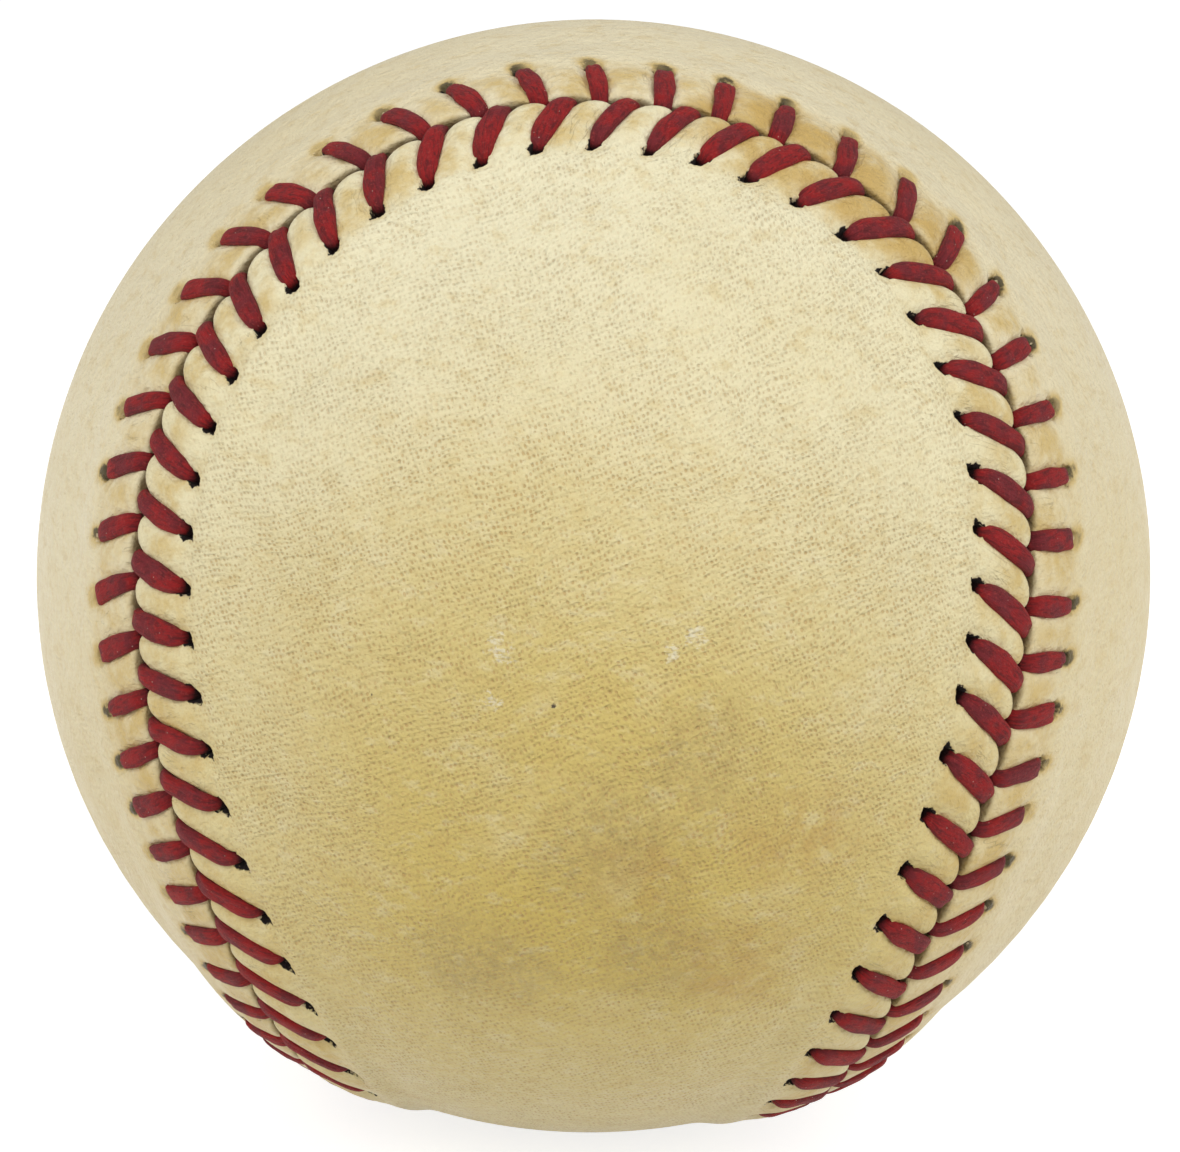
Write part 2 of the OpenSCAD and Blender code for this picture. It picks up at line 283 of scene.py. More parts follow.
def lumps(points):
    """Slight unevenness of the whole ball, in millimetres."""
    waves = [
        ((61, 33, -48), 0.7, 0.060),
        ((-38, 90, 41), 2.1, 0.045),
        ((120, -60, 95), 4, 0.022),
        ((-150, 110, 140), 5.2, 0.014),
        ((210, 190, -160), 1.3, 0.010),
    ]
    total = 0.0
    for vector, phase, size in waves:
        total += size * np.sin(points @ np.array(vector) * MM * FIELD_R + phase)
    return total


def leather_relief(row, w, side):
    """Height of the outer face over the raised form, and how far inside a stitch hole the point is."""
    sew = SEWING[side]
    phase = row - np.round(row)
    valley = near_row(row_values(21 + side, 0.85, 1.15), row) * sew["valley"]
    pillow = at_row(row_values(31 + side, 0.75, 1.25), row) * sew["pillow"]
    height = -valley * np.exp(-(np.abs(phase / sew["valley_w"]) ** 3)) * valley_fade(w)
    height += pillow * (1 - bell(phase / 0.29)) * smooth((4.8 - w) / 2.4)
    height -= 0.10 * bell((w - 4.75) / 0.95)
    # Pleats that the pull of the thread draws in the leather on each side of a hole
    pleat = near_row(row_values(81 + side, 0.0, 6.28), row)
    near = bell((w - 3.9) / 0.9) * bell((np.abs(phase) - 0.27) / 0.11)
    height += 0.022 * near * np.sin(phase * 62.0 + pleat + 1.3 * w)
    # Rim and pit of the stitch hole, with a torn outline
    x = phase * PITCH
    y = w - sew["hole_at"]
    turn = np.arctan2(y, x)
    torn = near_row(row_values(41 + side, 0.0, 6.28), row)
    size = near_row(row_values(51 + side, 0.88, 1.12), row)
    d = (np.abs(x / sew["hole_a"]) ** 3 + np.abs(y / sew["hole_b"]) ** 3) ** (1 / 3) / size
    frayed = 0.12 * np.sin(3 * turn + torn) + 0.09 * np.sin(5 * turn + 2 * torn)
    frayed += 0.07 * np.sin(11 * turn + 3 * torn)
    d *= 1 + frayed
    height += 0.06 * bell((d - 1.42) / 0.26)
    height -= sew["hole_deep"] * smooth((1.16 - d) / 0.36)
    return height, d


# Stations of the leather's grid: shares of a row between its columns, and distances from the seam in
# millimetres along each column
FINE_SHARES = [0.0, 0.035, 0.07, 0.105, 0.145, 0.19, 0.245, 0.31, 0.40]
COARSE_SHARES = [-0.245, 0.0, 0.245, 0.5]
FIELD_STATIONS = 12
INSETS = [
    8.6, 7.9, 7.3, 6.75, 6.25, 5.85, 5.6, 5.42, 5.28, 5.15, 5.02, 4.89, 4.76, 4.63, 4.50, 4.37, 4.24,
    4.11, 3.98, 3.84, 3.68, 3.48, 3.22, 2.92, 2.6, 2.3, 2.0, 1.7, 1.42, 1.16, 0.92, 0.72, 0.55,
    0.41, 0.29, 0.19, 0.12, 0.07, 0.03, 0.0,
]


def column_rows():
    """Rows of the columns of the leather's grid, close together at the stitches, and their coarser rows."""
    shares = [-s for s in FINE_SHARES[:0:-1]] + FINE_SHARES + [0.5]
    row = np.array([i + s for i in range(ROWS) for s in shares])
    row = np.append(row, row[0] + ROWS)
    coarse = np.array([i + s for i in range(-1, ROWS + 1) for s in COARSE_SHARES])
    return row, coarse[np.abs(row[:, None] - coarse[None, :]).argmin(axis=1)]


def cover_grid(side):
    """Points, seam coordinates, hole depth and station kinds of one panel, column by column."""
    sew = SEWING[side]
    row, coarse = column_rows()
    phase = row - np.round(row)
    zero = 0.0 * row
    far = zero + FAR_FROM_HOLE
    columns = []

    def station(points, radius, at, w, hole, raw):
        columns.append((points * np.asarray(radius)[..., None], at + zero, w + zero, hole, raw))

    def field(share, radius, raw):
        points = between(direction(coarse, side * SHOULDER + zero), midline(coarse, side), share)
        radius = radius + lumps(points) * (1 - raw[0])
        station(points, radius + zero, coarse, SHOULDER + FIELD_SPREAD * share, far, raw)

    for share in np.linspace(1.0, 0.0, FIELD_STATIONS + 1)[:-1]:
        field(share, FIELD_R, zero)

    scallop = sew["scallop"] * at_row(row_values(61 + side, 0.7, 1.3), row)
    edge = sew["edge"] + scallop * bell(phase / 0.24)
    for inset in INSETS:
        w = inset + zero if inset > SCALLOP_TO else edge + inset * (SCALLOP_TO - edge) / SCALLOP_TO
        lean = lean_rows(row, w, side)
        points = sewn_direction(row + lean, side * w)
        height, hole = leather_relief(row, w, side)
        k = w - edge
        c = sew["corner"]
        height -= lip_fall(k)
        height -= c - np.sqrt(c**2 - np.clip(c - k, 0.0, c) ** 2)
        bottom = np.where(w < 5.8, EDGE_IN_R + LEAST_SKIN, FIELD_R - 0.6)
        station(points, np.maximum(raised(w) + height + lumps(points), bottom), row, w, hole, zero)
    last = np.linalg.norm(columns[-1][0], axis=-1)

    for share in (0.3, 0.65, 1.0):
        at = row if share < 1.0 else coarse
        w = edge + EDGE_TUCK * share
        if share == 1.0:
            w = sew["edge"] + EDGE_TUCK + zero
        radius = last * (1 - share) + EDGE_IN_R * share
        station(sewn_direction(at + lean_rows(at, w, side), side * w), radius, at, w, far, zero + 1)
    for inset in (0.9, 4.4, 6.5):
        points = sewn_direction(coarse + lean_rows(coarse, inset + zero, side), side * (inset + zero))
        station(points, EDGE_IN_R + zero, coarse, inset, far, zero + 1)
    for share in np.linspace(0.0, 1.0, 5):
        field(share, LEATHER_IN_R, zero + 1)
    return [np.stack(part, 1) for part in zip(*columns)]


def welded_grid(name, points, seam_map, values):
    """A bmesh grid moved to these points, with its meeting edges welded, as a closed mesh in metres."""
    across, down = points.shape[0], points.shape[1]
    bm = bmesh.new()
    bmesh.ops.create_grid(bm, x_segments=down - 1, y_segments=across - 1, size=0.5)
    mesh = bpy.data.meshes.new(name)
    bm.to_mesh(mesh)
    bm.free()
    mesh.vertices.foreach_set("co", (points * MM).astype(np.float32).ravel())
    corners = np.zeros(len(mesh.loops), np.int32)
    mesh.loops.foreach_get("vertex_index", corners)
    layer = mesh.uv_layers.new(name="seam_map")
    layer.data.foreach_set("uv", seam_map.reshape(-1, 2)[corners].astype(np.float32).ravel())
    for key, value in values.items():
        mesh.attributes.new(key, "FLOAT", "POINT").data.foreach_set("value", value.astype(np.float32).ravel())
    bm = bmesh.new()
    bm.from_mesh(mesh)
    bmesh.ops.remove_doubles(bm, verts=bm.verts, dist=1e-7)
    return bm, mesh


def place_piece(bm, mesh, material, node):
    """Turns the faces out, fills the mesh and puts it in the scene in place of a CAD node."""
    if bm.calc_volume(signed=True) < 0:
        bmesh.ops.reverse_faces(bm, faces=bm.faces)
    for face in bm.faces:
        face.smooth = True
    bm.to_mesh(mesh)
    bm.free()
    mesh.materials.append(material)
    piece = bpy.data.objects.new(mesh.name, mesh)
    bpy.context.scene.collection.objects.link(piece)
    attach(piece, BODY)
    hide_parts(node)


# Rings of one stitch, from the hole to the groove: distance from the seam, rows past its own path,
# height of its middle over the valley, share of its width and of its thickness
LEG_RINGS = {
    FRONT: [
        (3.76, 0, -1.15, 0.66, 1.00), (3.70, 0, -0.64, 0.68, 1.04),
        (3.55, 0, -0.14, 0.74, 1.05), (3.28, 0, 0.15, 0.85, 1.00),
        (2.76, 0, 0.27, 0.97, 0.98), (2.00, 0, 0.32, 1.05, 0.96),
        (1.48, 0, 0.33, 1.03, 0.98), (0.92, 0, 0.34, 0.98, 1.02),
        (0.38, 0, 0.33, 0.93, 1.06), (-0.08, 0, 0.24, 0.88, 1.08),
        (-0.38, 0.01, 0.00, 0.80, 1.04), (-0.54, 0.03, -0.46, 0.70, 0.98),
    ],
    SIDE: [
        (4.42, 0, -1.10, 0.60, 0.95), (4.34, 0, -0.55, 0.70, 0.98),
        (4.18, 0, -0.10, 0.86, 1.00), (3.92, 0, 0.16, 0.99, 0.96),
        (3.40, 0, 0.26, 1.00, 0.93), (2.75, 0, 0.28, 0.97, 0.92),
        (2.05, 0, 0.28, 0.92, 0.92), (1.45, 0, 0.24, 0.88, 0.92),
        (0.98, 0, 0.12, 0.84, 0.92), (0.60, 0, -0.14, 0.80, 0.90),
        (0.34, 0.01, -0.55, 0.74, 0.88),
    ],
}
UNDER_SHARES = (0.35, 0.85)
THREAD_SIDES = 18
THREAD_HALF_W = 0.705
THREAD_HALF_T = 0.33
THREAD_SQUARE = 0.78
RING_STEPS = 3


# How far a leg's end is cut askew in millimetres, and how much narrower it gets there
skews = {FRONT: row_values(17, -0.14, 0.14), SIDE: row_values(18, -0.34, 0.34)}
tips = {FRONT: row_values(73, 0.90, 1.04), SIDE: row_values(74, 0.68, 1.02)}


def leg_rings(row, side, wide):
    """Place, radius, width, thickness, number, shade and skew of each main ring of one stitch."""
    sew = SEWING[side]
    rings = []
    for w, ahead, height, wide_share, thick_share in LEG_RINGS[side]:
        inset = max(w, 0.0)
        lean = lean_rows(np.array([float(row)]), np.array([w]), side)[0]
        ground = float(raised(inset) - sew["valley"] * valley_fade(inset) - lip_fall(inset - sew["edge"]))
        radius = max(ground + height, UNDER_R)
        near_end = smooth((w - 2.4) / 1.5)
        wide_share = wide_share * wide * (1 - (1 - tips[side][row]) * near_end)
        rings.append((row + lean + ahead, side * w, radius, THREAD_HALF_W * wide_share,
                      THREAD_HALF_T * thick_share, row, smooth((0.02 - height) / 0.55),
                      skews[side][row] * near_end))
    return rings


def curve_through(keys, steps):
    """Smooth curve through the key rows of an array, with this many steps between two of them."""
    padded = np.concatenate([keys[:1], keys, keys[-1:]])
    before, start, end, after = padded[:-3], padded[1:-2], padded[2:-1], padded[3:]
    parts = []
    for share in np.arange(steps) / steps:
        bend = (2 * start + (end - before) * share + (2 * before - 5 * start + 4 * end - after) * share**2
                + (3 * start - before - 3 * end + after) * share**3)
        parts.append(bend / 2)
    return np.concatenate([np.stack(parts, 1).reshape(-1, keys.shape[1]), keys[-1:]])


def thread_grid(first):
    """Ring points of one whole thread, its map round it and along it, and each row's number and shade."""
    keys = []
    second = 0 if first else 1
    wides = row_values(71 + second, 0.90, 1.08)
    for row in range(ROWS):
        side = FRONT if (row % 2 == 0) == first else SIDE
        keys += leg_rings(row, side, wides[row])
        # Under the other panel to its next hole
        end_row, end_w, number = keys[-1][0], keys[-1][1], keys[-1][5]
        goal_row = row + 1 + slips[-side][(row + 1) % ROWS]
        goal_w = -side * HOLE_INSET
        for share in UNDER_SHARES:
            step = share * (0.5 if row == ROWS - 1 else 1.0)
            keys.append((end_row + (goal_row - end_row) * step, end_w + (goal_w - end_w) * step, UNDER_R,
                         THREAD_HALF_W * 0.72, THREAD_HALF_T, number, 1.0, 0.0))
    rings = curve_through(np.array(keys), RING_STEPS)
    flat = sewn_direction(rings[:, 0], rings[:, 1])
    centres = flat * np.maximum(rings[:, 2], UNDER_R)[:, None]
    way = unit(np.gradient(centres, axis=0))
    # Across the thread: square to its way over the leather, held where it goes down
    flat_way = np.gradient(flat, axis=0)
    flat_way -= flat * (flat_way * flat).sum(-1, keepdims=True)
    across = unit(np.cross(unit(flat_way), flat))
    across = unit(across - way * (across * way).sum(-1, keepdims=True))
    high = np.cross(across, way)
    length = np.concatenate([[0.0], np.cumsum(np.linalg.norm(np.diff(centres, axis=0), axis=1))])
    length = length[:, None]
    number = np.round(rings[:, 5:6])
    stitch = number.astype(int) % ROWS
    turns = np.arange(THREAD_SIDES + 1)[None, :] / THREAD_SIDES
    angle = 2 * pi * turns
    # Two plies with a slow lay, so that a crease wanders over the top of each stitch
    lay = row_values(91 + second, -0.7, 0.7)[stitch]
    crease = np.cos(angle - pi / 2 - (lay + 0.35 * np.sin(length * 0.9 + 5 * lay)))
    deep = row_values(93 + second, 0.03, 0.24)[stitch]
    relief = 1 - deep * bell((1 - np.clip(crease, 0, 1)) / 0.04)
    relief += 0.03 * np.sin(3 * angle + length * 1.7) + 0.025 * np.sin(length * 3.1)
    relief += 0.02 * np.sin(5 * angle - length * 2.3 + lay * 9)
    points = centres[:, None, :]
    for axis, wave, size in ((across, np.cos(angle), rings[:, 3:4]), (high, np.sin(angle), rings[:, 4:5])):
        bulge = np.sign(wave) * np.abs(wave) ** THREAD_SQUARE
        points = points + axis[:, None, :] * (bulge * (size * relief))[..., None]
    points += way[:, None, :] * (np.cos(angle) * rings[:, 7:8])[..., None]
    points[:, -1] = points[:, 0]
    zero = 0.0 * (length + angle)
    seam_map = np.stack([turns + zero, length + zero], -1)
    return points, seam_map, {"number": number + zero, "shade": rings[:, 6:7] + zero}


class NodeBoard:
    """Short calls for a material's nodes, with the colour it has so far."""

    def __init__(self, name, base):
        self.material = bpy.data.materials.new(name)
        self.material.use_nodes = True
        self.nodes = self.material.node_tree.nodes
        self.links = self.material.node_tree.links
        self.shader = self.nodes["Principled BSDF"]
        self.colour = (*base, 1)

    def node(self, kind, settings=None, **inputs):
        made = self.nodes.new("ShaderNode" + kind)
        for key, value in (settings or {}).items():
            setattr(made, key, value)
        self.feed_all(made, inputs)
        return made

    def feed(self, node, socket, value):
        """Links another node's output to a socket or sets its value; None leaves it as it is."""
        if isinstance(value, bpy.types.NodeSocket):
            self.links.new(value, node.inputs[socket])
        elif value is not None:
            node.inputs[socket].default_value = value

    def feed_all(self, node, inputs):
        for key, value in inputs.items():
            self.feed(node, key.replace("_", " "), value)

    def place(self):
        return self.node("TexCoord").outputs["Object"]

    def drift(self, vector, way, size):
        """Place moved along a changing way."""
        return self.vector_maths("ADD", vector, self.vector_maths("SCALE", way, scale=size))

    def mapping(self, vector, scale, rotation=(0, 0, 0)):
        return self.node("Mapping", Vector=vector, Scale=scale, Rotation=rotation).outputs[0]

    def noise(self, vector, scale, detail=3, roughness=0.5, distortion=0, colour=False, squeeze=None):
        if squeeze:
            vector = self.mapping(vector, (1, 1, squeeze))
        made = self.node("TexNoise", Vector=vector, Scale=scale, Detail=detail, Roughness=roughness,
                         Distortion=distortion)
        return made.outputs["Color" if colour else "Fac"]

    def voronoi(self, vector, scale, randomness=1, feature="F1", output="Distance"):
        return self.node("TexVoronoi", {"feature": feature}, Vector=vector, Scale=scale,
                         Randomness=randomness).outputs[output]

    def ramp(self, value, low, high, to_low=0, to_high=1):
        """Value between low and high, eased, as a number from to_low to to_high."""
        return self.node("MapRange", {"interpolation_type": "SMOOTHSTEP"}, Value=value,
                         From_Min=low, From_Max=high, To_Min=to_low, To_Max=to_high).outputs[0]

    def maths(self, operation, a, b=None, clamp=False):
        made = self.node("Math", {"operation": operation, "use_clamp": clamp})
        self.feed(made, 0, a)
        self.feed(made, 1, b)
        return made.outputs[0]

    def times(self, a, *others):
        for b in others:
            a = self.maths("MULTIPLY", a, b)
        return a

    def plus(self, a, b, clamp=False):
        return self.maths("ADD", a, b, clamp)

    def minus(self, a, b):
        return self.maths("SUBTRACT", a, b)

    def larger(self, a, b):
        return self.maths("MAXIMUM", a, b)

    def vector_maths(self, operation, a, b=None, scale=None):
        made = self.node("VectorMath", {"operation": operation})
        self.feed(made, 0, a)
        self.feed(made, 1, b)
        self.feed(made, "Scale", scale)
        return made.outputs[1 if operation == "DISTANCE" else 0]

    def mix(self, share, a, b):
        made = self.node("Mix", {"data_type": "RGBA"})
        self.feed(made, 0, share)
        self.feed(made, 6, a)
        self.feed(made, 7, b)
        return made.outputs[2]

    def paint(self, share, tone, strength=None):
        """Lays a tone over the material's colour so far."""
        if strength is not None:
            share = self.times(share, strength)
        self.colour = self.mix(share, self.colour, (*tone, 1))

    def attribute(self, name):
        return self.node("Attribute", {"attribute_name": name}).outputs["Fac"]

    def bump(self, height, distance, strength=1, normal=None):
        made = self.node("Bump", Height=height, Distance=distance, Strength=strength, Normal=normal)
        return made.outputs[0]

    def finish(self, roughness, normal, **constants):
        constants.update(Base_Color=self.colour, Roughness=roughness, Normal=normal)
        self.feed_all(self.shader, constants)
        return self.material


def marks(board, place, spots, edge, ragged, torn=1.2):
    """Soft round marks on the ball: 1 at the middle of each and 0 past its reach, with ragged outlines."""
    parts = []
    for way, reach in spots:
        far = board.vector_maths("DISTANCE", place, tuple(Vector(way).normalized() * FIELD_R * MM))
        far = board.plus(far, board.times(board.minus(ragged, 0.5), reach * MM * torn))
        parts.append(board.ramp(far, reach * MM * edge, reach * MM, 1, 0))
    return reduce(board.larger, parts)


# Grain: slant of its rows in degrees, and spacing of the pores and of the rows in metres
GRAIN_SLANT = 24
PORE_PITCH = 0.0003
PORE_ROWS = 0.00036


def grain(board, turned):
    """Pores of the hair side as uneven dots in wavy rows, those rows, and the low domes between the pores."""
    x, y, z = board.node("SeparateXYZ", Vector=turned).outputs
    turn = board.maths("ARCTAN2", x, board.times(y, -1))
    radius = board.maths("SQRT", board.plus(board.times(x, x), board.times(y, y)))
    along = board.times(turn, radius, 1 / PORE_PITCH)
    rise = board.maths("ARCTAN2", z, radius)
    level = board.times(rise, FIELD_R * MM / PORE_ROWS)
    level = board.plus(level, board.times(board.noise(turned, 330, 3, 0.5), 2.8))
    cells = board.node("CombineXYZ", X=along, Y=level).outputs[0]
    dots = board.node("TexVoronoi", {"voronoi_dimensions": "2D"}, Vector=cells, Scale=1, Randomness=0.52)
    pick = board.node("SeparateColor", Color=dots.outputs["Color"]).outputs[0]
    reach = board.plus(board.times(pick, 0.22), 0.05)
    pores = board.ramp(board.minus(dots.outputs["Distance"], reach), 0.1, -0.06)
    middle = board.maths("ABSOLUTE", board.minus(board.maths("FRACT", level), 0.5))
    return pores, board.ramp(middle, 0.34, 0.04), board.ramp(dots.outputs["Distance"], 0, 0.62)


# Marks of use on the photographed lobe: direction from the centre and reach in millimetres
HANDLED = [((0.03, -0.98, -0.1), 34)]
SMUDGES = [((0.2, -0.98, -0.03), 5.5), ((0.15, -0.91, -0.39), 6.5), ((-0.12, -0.9, -0.43), 6),
           ((0.08, -0.98, -0.18), 7.5)]
WARM = [((0.36, -0.92, -0.18), 5.5), ((0.28, -0.87, -0.4), 6.5), ((0.12, -0.96, -0.24), 4.5)]
SCUFFS = [((-0.122, -0.983, 0.14), 0.7), ((-0.116, -0.985, 0.125), 0.8), ((-0.127, -0.991, 0.048), 0.6),
          ((0.146, -0.98, 0.141), 0.5), ((0.147, -0.981, 0.13), 0.4), ((0.182, -0.971, 0.16), 0.7)]
SPECKS = [((-0.031, -0.998, 0.047), 0.19), ((-0.315, -0.948, 0.035), 0.16), ((-0.286, -0.958, -0.03), 0.14)]
MARKS = [((-0.645, -0.76, -0.081), 0.55)]
# Stretch of the seam where wax and sweat have stained the leather on both sides
STAINED = [((0.25, -0.43, 0.87), 6.5), ((0.37, -0.46, 0.81), 7), ((0.49, -0.49, 0.72), 6)]


# Small tones of the leather: loose fibre, speck, mark, olive dye, crumb at a hole and raw edge
FIBRE = (0.88, 0.84, 0.68)
SPECK = (0.05, 0.03, 0.02)
MARK = (0.07, 0.07, 0.06)
OLIVE = (0.062, 0.044, 0.012)
CRUMB = (0.74, 0.6, 0.36)
RAW_EDGE = (0.36, 0.24, 0.13)
# Small tones of the thread: painted shade where it goes down in a hole, and lint on it
DEEP_SHADE = (0.018, 0.004, 0.004)
LINT = (0.75, 0.6, 0.5)


def leather_material(look):
    board = NodeBoard("cover_leather", look.cream)
    ramp, noise, times, paint = board.ramp, board.noise, board.times, board.paint
    place = board.place()
    way = board.vector_maths("SUBTRACT", noise(place, 90, 2, colour=True), (0.5, 0.5, 0.5))
    shifted = board.drift(place, way, 0.0022)
    sewn = board.attribute("sewn")
    patchy = noise(place, 300, 3)
    side = board.attribute("side")
    clear = times(ramp(patchy, 0.3, 0.6, 0.55, 1), ramp(sewn, 0, 1, 1, 0.25), ramp(side, 0, 1, 1, 0.35))
    turned = board.mapping(shifted, (1, 1, 1), (0, radians(GRAIN_SLANT), 0))
    pores, rows, domes = grain(board, turned)
    pebbles = noise(turned, 1700, 3, 0.55, squeeze=1.3)
    # Broad tones of an aged ball: yellower and darker low down, partly age and partly painted shade,
    # and yellower where the hand holds it
    broad = noise(place, 42, 4, 0.55)
    middling = noise(place, 190, 4, 0.6)
    # Darker and yellower towards the bottom: partly age, partly painted shade
    low = ramp(board.node("SeparateXYZ", Vector=place).outputs[2], 0.026, -0.026, 0.04, 0.43)
    held = marks(board, place, HANDLED, 0.1, broad)
    age_and_low_shade = board.plus(low, times(held, 0.63))
    age_and_low_shade = board.plus(age_and_low_shade, times(board.minus(broad, 0.5), 0.7), clamp=True)
    paint(age_and_low_shade, look.aged)
    paint(ramp(middling, 0.52, 0.8, 0, 0.3), look.pale)
    paint(side, look.side, 0.3)
    mottle = noise(shifted, 620, 5, 0.68, squeeze=1.7)
    paint(ramp(mottle, 0.5, 0.68, 0, 0.3), look.tan)
    paint(ramp(mottle, 0.48, 0.32, 0, 0.3), look.pale)
    smudge = marks(board, place, SMUDGES, 0.05, middling)
    speckled = ramp(noise(place, 1300, 4, 0.7), 0.4, 0.62, 0.12, 0.46)
    paint(times(smudge, speckled), look.smudge)
    paint(held, look.smudge, 0.06)
    warm = marks(board, place, WARM, 0.05, middling)
    warm = times(warm, ramp(noise(place, 700, 4, 0.65), 0.36, 0.64, 0.05, 0.55))
    paint(warm, look.amber)
    pores = times(pores, clear)
    breaks = ramp(noise(turned, 2300, 3, 0.6, squeeze=1.6), 0.4, 0.6)
    rows = times(rows, breaks, clear)
    paint(times(pores, ramp(age_and_low_shade, 0, 0.5, 0.28, 0.6)), look.pore)
    paint(times(rows, ramp(age_and_low_shade, 0, 0.5, 0.1, 0.2)), look.pore)
    paint(ramp(pebbles, 0.48, 0.3, 0, 0.12), look.pore)
    # Tan blotches, wrinkles and fine cracks where the leather was pulled by the stitches
    blotch = ramp(noise(place, 250, 5, 0.65), 0.46, 0.66, 0, 0.75)
    paint(times(blotch, sewn), look.tan)
    patch = ramp(noise(place, 520, 4, 0.65), 0.36, 0.62, 0.06, 0.72)
    paint(times(board.attribute("tab"), patch), look.tan)
    clouds = ramp(noise(place, 410, 4, 0.6), 0.34, 0.62, 0.26, 0.95)
    stained = marks(board, place, STAINED, 0.35, middling)
    stained = times(stained, ramp(sewn, 0, 0.85), clouds)
    paint(stained, look.tan)
    paint(stained, look.amber, 0.35)
    uv = board.node("UVMap", {"uv_map": "seam_map"}).outputs[0]
    ridge = noise(board.mapping(uv, (1.5, 0.3, 1), rotation=(0, 0, 0.35)), 1, 2, 0.5)
    line = ramp(board.maths("ABSOLUTE", board.minus(ridge, 0.5)), 0, 0.018, 1, 0)
    cracks = times(line, sewn, ramp(patchy, 0.54, 0.66))
    # The cracks are darkened with the groove's brown: soiling with painted shade in them
    paint(cracks, look.stain_and_shade, 0.38)
    # Torn scuffs, specks and one dark mark
    torn = noise(place, 2300, 4, 0.75)
    scuff = marks(board, place, SCUFFS, 0.25, torn, 4)
    strokes = noise(shifted, 1500, 3, 0.6, squeeze=3.4)
    paint(times(scuff, ramp(strokes, 0.42, 0.54, 0.08, 0.54)), FIBRE)
    speck = marks(board, place, SPECKS, 0.6, torn, 1.8)
    paint(speck, SPECK, 0.95)
    mark = marks(board, place, MARKS, 0.2, torn, 3)
    paint(mark, MARK, 0.7)
    ragged = noise(place, 900, 4, 0.65)
    # Brown along the groove and on the raw edges: soiling with painted shade in the groove
    paint(times(board.attribute("groove_soil_and_shade"), ramp(ragged, 0.25, 0.7, 0.45, 1)), look.stain_and_shade)
    # Wax and dye round the ends of the side stitches, the holes' frayed black as painted shade, and their
    # crumbs
    halo = times(board.attribute("halo"), ramp(ragged, 0.3, 0.62, 0.62, 1.1))
    paint(ramp(halo, 0.05, 0.6, 0, 0.8), look.tan)
    olive = times(ramp(halo, 0.48, 0.8), ramp(noise(place, 150, 2), 0.43, 0.54, 0.1, 0.95))
    paint(olive, OLIVE)
    hole = board.attribute("hole")
    frayed = times(board.minus(noise(place, 2200, 3, 0.6), 0.5), 0.9)
    # Painted shade: near black down in the stitch holes and along their frayed rims
    hole_shade = ramp(board.plus(hole, frayed), 1.4, 1.24)
    paint(hole_shade, look.hole_shade)
    rim = times(ramp(hole, 1.66, 1.48), ramp(hole, 1.04, 1.14))
    crumb = times(ramp(board.voronoi(shifted, 2100), 0.3, 0.36, 1, 0), rim)
    crumb = times(crumb, ramp(noise(place, 800, 2), 0.44, 0.52, 0, 0.85))
    paint(crumb, CRUMB)
    paint(board.attribute("raw"), RAW_EDGE, 0.6)
    fine = noise(place, 5200, 4, 0.6)
    height = board.plus(times(fine, 0.3), times(pebbles, 2.2))
    height = board.plus(height, times(domes, clear, 0.36))
    hollows = board.plus(times(pores, 0.2), times(rows, 0.18))
    normal = board.bump(board.minus(height, hollows), 0.000125)
    creases = board.minus(noise(shifted, 620, 5, 0.6, squeeze=1.6), cracks)
    normal = board.bump(creases, 0.00012, 0.4, normal)
    roughness = board.larger(ramp(middling, 0.3, 0.7, 0.38, 0.5), times(hole_shade, 0.95))
    return board.finish(roughness, normal, Specular_IOR_Level=0.4)


def thread_material(look):
    board = NodeBoard("waxed_thread", look.crimson)
    uv = board.node("UVMap", {"uv_map": "seam_map"}).outputs[0]
    place = board.place()
    # Strands: noise drawn out along the thread with a slow twist
    split = board.node("SeparateXYZ", Vector=uv)
    turned = board.minus(board.times(split.outputs[0], 2 * pi), board.times(split.outputs[1], 0.16))
    across, high = board.maths("COSINE", turned), board.maths("SINE", turned)
    along = board.plus(board.times(split.outputs[1], 0.42), board.times(board.attribute("number"), 3.7))
    bundle = board.node("CombineXYZ", X=across, Y=high, Z=along).outputs[0]
    strands = board.noise(bundle, 3, 5, 0.66, 0.5)
    fibres = board.noise(bundle, 9, 4, 0.7, squeeze=0.4)
    fuzz = board.noise(place, 5200, 3, 0.7)
    tone = board.noise(place, 420, 4, 0.62)
    board.paint(board.ramp(tone, 0.42, 0.6), look.plum)
    # Painted shade: darker between the strands and fibres, in the hollows of their bump
    board.paint(board.ramp(strands, 0.44, 0.66, 0, 0.8), look.dark)
    board.paint(board.ramp(fibres, 0.45, 0.66, 0, 0.4), look.dark)
    # Painted highlight: loose fibres lighter as if caught by the light
    board.paint(board.ramp(fuzz, 0.54, 0.68, 0, 0.45), look.bright)
    shade = board.plus(board.attribute("shade"), board.times(board.minus(fuzz, 0.5), 0.8))
    # Painted shade where the thread goes down into a hole
    board.paint(board.ramp(shade, 0.15, 0.75), DEEP_SHADE)
    lint = board.ramp(board.voronoi(place, 1500), 0.035, 0.07, 0.6, 0)
    board.paint(lint, LINT)
    height = board.plus(board.times(fuzz, 0.45), board.times(fibres, -0.5))
    height = board.plus(board.times(strands, -0.7), height)
    normal = board.bump(height, 0.00018, 0.8)
    return board.finish(0.7, normal, Specular_IOR_Level=0.25, Sheen_Weight=0.1,
                        Sheen_Roughness=0.4, Sheen_Tint=(0.9, 0.56, 0.5, 1))


